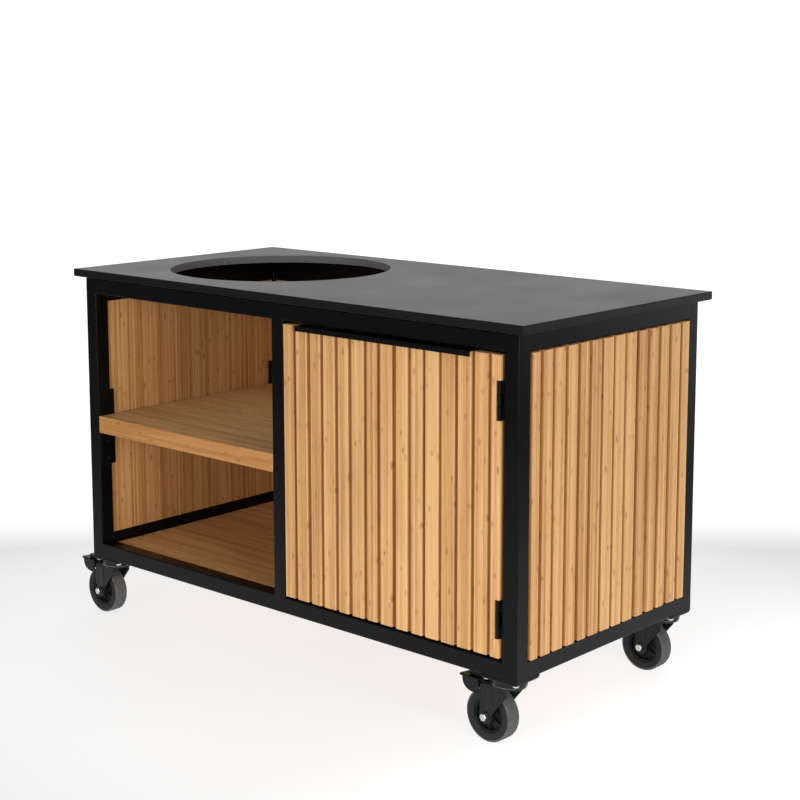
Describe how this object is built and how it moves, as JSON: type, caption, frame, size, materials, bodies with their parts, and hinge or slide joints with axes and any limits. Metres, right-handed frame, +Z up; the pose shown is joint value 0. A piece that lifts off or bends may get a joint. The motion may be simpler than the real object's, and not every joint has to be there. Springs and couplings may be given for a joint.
{
  "type": "kamado grill table",
  "caption": "Rolling outdoor kitchen table: steel tube frame, stone top with a round kamado cut-out over an open bay with a shelf, and a bamboo-clad cupboard with a hinged door.",
  "frame": {"origin": "centre of the base of the object's box, on the floor under the casters", "axes": "+X to the right along the front, +Y from the front to the back, +Z up"},
  "size_m": [1.5468, 0.725, 0.9431],
  "materials": {
    "frame_black": "black powder coat, satin, finely textured",
    "caster_black": "dark grey coated pressed steel, satin",
    "zinc": "zinc plated, half bright",
    "grey_stone": "honed dark grey, fine speckle, matte",
    "bamboo": "oiled laminated bamboo, fine straight grain",
    "grey_tread": "soft grey thermoplastic rubber, matte",
    "black_plastic": "moulded black polyamide, satin",
    "black_rubber": "black foam rubber, matte"
  },
  "bodies": {
    "table": {"post_front_left": "frame_black", "post_front_middle": "frame_black", "post_front_right": "frame_black", "post_rear_left": "frame_black", "post_rear_middle": "frame_black", "post_rear_right": "frame_black", "top_rail_front": "frame_black", "top_rail_rear": "frame_black", "top_rail_left": "frame_black", "top_rail_middle": "frame_black", "top_rail_right": "frame_black", "bottom_rail_front": "frame_black", "bottom_rail_rear": "frame_black", "bottom_rail_left": "frame_black", "bottom_rail_middle": "frame_black", "bottom_rail_right": "frame_black", "worktop_tape": "black_rubber", "worktop": "grey_stone", "wall_left": "bamboo", "wall_right": "bamboo", "wall_back_left": "bamboo", "wall_back_right": "bamboo", "divider": "bamboo", "floor_left": "bamboo", "floor_right": "bamboo", "shelf": "bamboo", "shelf_bracket_front_left": "frame_black", "shelf_bracket_front_right": "frame_black", "shelf_bracket_rear_left": "frame_black", "shelf_bracket_rear_right": "frame_black", "hinge_lower_frame_leaf": "frame_black", "hinge_upper_frame_leaf": "frame_black", "caster_front_left_plate": "zinc", "caster_front_right_plate": "zinc", "caster_rear_left_plate": "zinc", "caster_rear_right_plate": "zinc"},
    "door": {"door": "bamboo", "door_pull": "frame_black", "hinge_lower_door_leaf": "frame_black", "hinge_upper_door_leaf": "frame_black"},
    "front_left_fork": {"caster_front_left_fork": "caster_black", "caster_front_left_axle": "zinc"},
    "front_left_wheel": {"caster_front_left_tyre": "grey_tread", "caster_front_left_hub": "black_plastic"},
    "front_left_pedal": {"caster_front_left_pedal": "black_plastic"},
    "front_right_fork": {"caster_front_right_fork": "caster_black", "caster_front_right_axle": "zinc"},
    "front_right_wheel": {"caster_front_right_tyre": "grey_tread", "caster_front_right_hub": "black_plastic"},
    "front_right_pedal": {"caster_front_right_pedal": "black_plastic"},
    "rear_left_fork": {"caster_rear_left_fork": "caster_black", "caster_rear_left_axle": "zinc"},
    "rear_left_wheel": {"caster_rear_left_tyre": "grey_tread", "caster_rear_left_hub": "black_plastic"},
    "rear_left_pedal": {"caster_rear_left_pedal": "black_plastic"},
    "rear_right_fork": {"caster_rear_right_fork": "caster_black", "caster_rear_right_axle": "zinc"},
    "rear_right_wheel": {"caster_rear_right_tyre": "grey_tread", "caster_rear_right_hub": "black_plastic"},
    "rear_right_pedal": {"caster_rear_right_pedal": "black_plastic"}
  },
  "joints": [
    {"name": "door_hinge", "type": "hinge", "parent": "table", "child": "door", "pos_m": [0.69785, -0.345, 0.54165], "axis": [0, 0, 1], "range_deg": [0, 110]},
    {"name": "front_left_swivel", "type": "hinge", "parent": "table", "child": "front_left_fork", "pos_m": [-0.65135, -0.3011, 0.16315], "axis": [0, 0, 1], "continuous": true},
    {"name": "front_left_spin", "type": "hinge", "parent": "front_left_fork", "child": "front_left_wheel", "pos_m": [-0.69835, -0.3011, 0.06085], "axis": [0, 1, 0], "continuous": true},
    {"name": "front_left_brake", "type": "hinge", "parent": "front_left_fork", "child": "front_left_pedal", "pos_m": [-0.69735, -0.3011, 0.12815], "axis": [0, -1, 0], "range_deg": [0, 8]},
    {"name": "front_right_swivel", "type": "hinge", "parent": "table", "child": "front_right_fork", "pos_m": [0.69805, -0.3011, 0.16315], "axis": [0, 0, 1], "continuous": true},
    {"name": "front_right_spin", "type": "hinge", "parent": "front_right_fork", "child": "front_right_wheel", "pos_m": [0.65105, -0.3011, 0.06085], "axis": [0, 1, 0], "continuous": true},
    {"name": "front_right_brake", "type": "hinge", "parent": "front_right_fork", "child": "front_right_pedal", "pos_m": [0.65205, -0.3011, 0.12815], "axis": [0, -1, 0], "range_deg": [0, 8]},
    {"name": "rear_left_swivel", "type": "hinge", "parent": "table", "child": "rear_left_fork", "pos_m": [-0.65135, 0.3011, 0.16315], "axis": [0, 0, 1], "continuous": true},
    {"name": "rear_left_spin", "type": "hinge", "parent": "rear_left_fork", "child": "rear_left_wheel", "pos_m": [-0.69835, 0.3011, 0.06085], "axis": [0, 1, 0], "continuous": true},
    {"name": "rear_left_brake", "type": "hinge", "parent": "rear_left_fork", "child": "rear_left_pedal", "pos_m": [-0.69735, 0.3011, 0.12815], "axis": [0, -1, 0], "range_deg": [0, 8]},
    {"name": "rear_right_swivel", "type": "hinge", "parent": "table", "child": "rear_right_fork", "pos_m": [0.69805, 0.3011, 0.16315], "axis": [0, 0, 1], "continuous": true},
    {"name": "rear_right_spin", "type": "hinge", "parent": "rear_right_fork", "child": "rear_right_wheel", "pos_m": [0.65105, 0.3011, 0.06085], "axis": [0, 1, 0], "continuous": true},
    {"name": "rear_right_brake", "type": "hinge", "parent": "rear_right_fork", "child": "rear_right_pedal", "pos_m": [0.65205, 0.3011, 0.12815], "axis": [0, -1, 0], "range_deg": [0, 8]}
  ]
}
